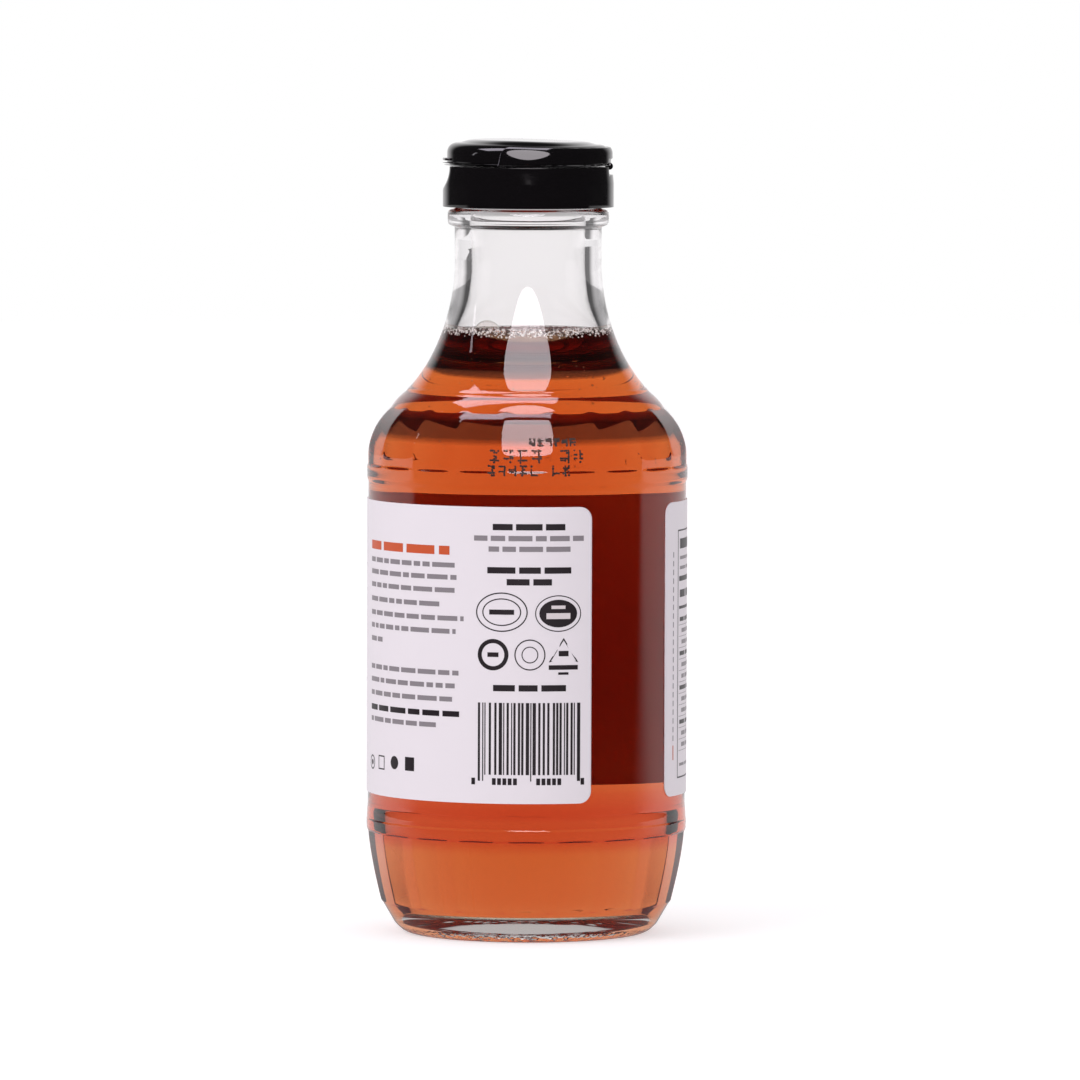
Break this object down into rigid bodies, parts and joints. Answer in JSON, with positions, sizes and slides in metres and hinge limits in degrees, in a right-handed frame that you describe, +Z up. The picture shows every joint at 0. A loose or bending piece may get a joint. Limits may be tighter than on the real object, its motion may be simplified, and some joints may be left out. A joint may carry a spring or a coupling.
{
  "type": "syrup bottle",
  "caption": "Clear glass bottle of dark amber maple syrup with faceted shoulder and heel, wrap-around label and black hinged flip-top cap.",
  "frame": {"origin": "centre of the foot, at the surface the bottle stands on", "axes": "+Z up along the bottle's axis; -Y is the side that faces the viewer, with the label's centred column; -X is the side of the lid's thumb tab and +X the side of its hinge"},
  "size_m": [0.0772, 0.0772, 0.1912],
  "materials": {
    "clear_glass": "clear flint glass, smooth",
    "syrup": "clear dark amber syrup, drawn as a solid up to its level",
    "label_film": "near-white satin label film with plain printed fields",
    "cap_plastic": "black glossy polypropylene"
  },
  "bodies": {
    "bottle": {"bottle_glass": "clear_glass", "syrup": "syrup", "wrap_label": "label_film", "cap_base": "cap_plastic"},
    "lid": {"flip_lid": "cap_plastic"}
  },
  "joints": [
    {"name": "lid_hinge", "type": "hinge", "parent": "bottle", "child": "lid", "pos_m": [0.0195, 0, 0.185], "axis": [0, 1, 0], "range_deg": [0, 120]}
  ]
}
